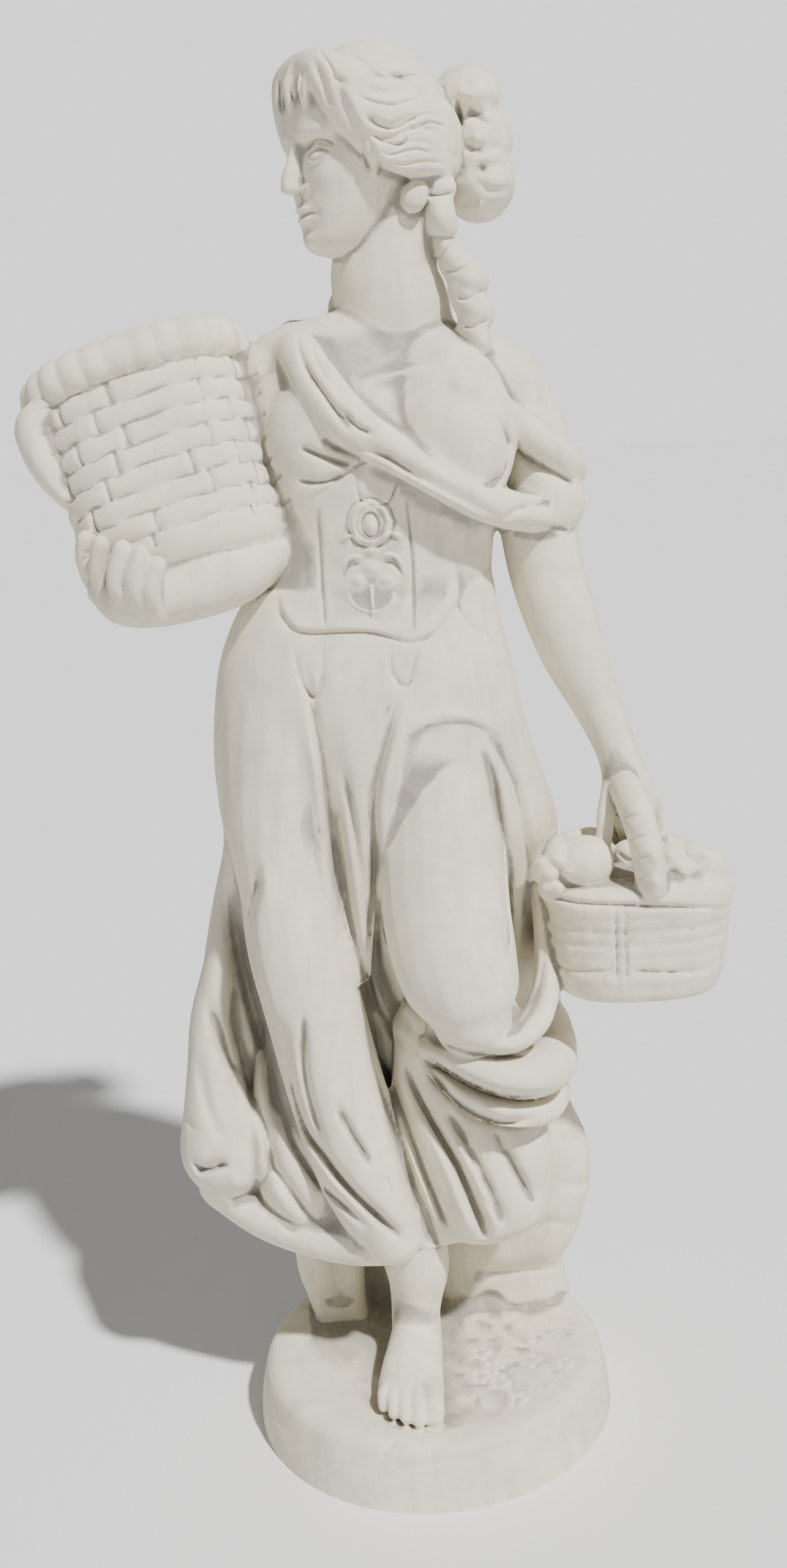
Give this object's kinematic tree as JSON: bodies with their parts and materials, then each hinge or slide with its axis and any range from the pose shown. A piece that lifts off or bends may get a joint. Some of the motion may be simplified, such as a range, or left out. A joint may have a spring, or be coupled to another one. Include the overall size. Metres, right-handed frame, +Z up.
{
  "type": "female garden statue",
  "caption": "Cast garden statue of a barefoot girl in a draped dress, a woven creel under one arm and a basket of fruit in the other hand, on a low round base.",
  "frame": {"origin": "middle of the round base's flat underside", "axes": "+Z up, the figure's height; -Y towards the spectator in front of her; +X to the spectator's right"},
  "size_m": [0.7253, 0.4142, 1.5096],
  "materials": {
    "cast_stone": "dull off-white cast stone, weathered grey in the folds"
  },
  "bodies": {
    "root": {"statue": "cast_stone"}
  },
  "joints": []
}
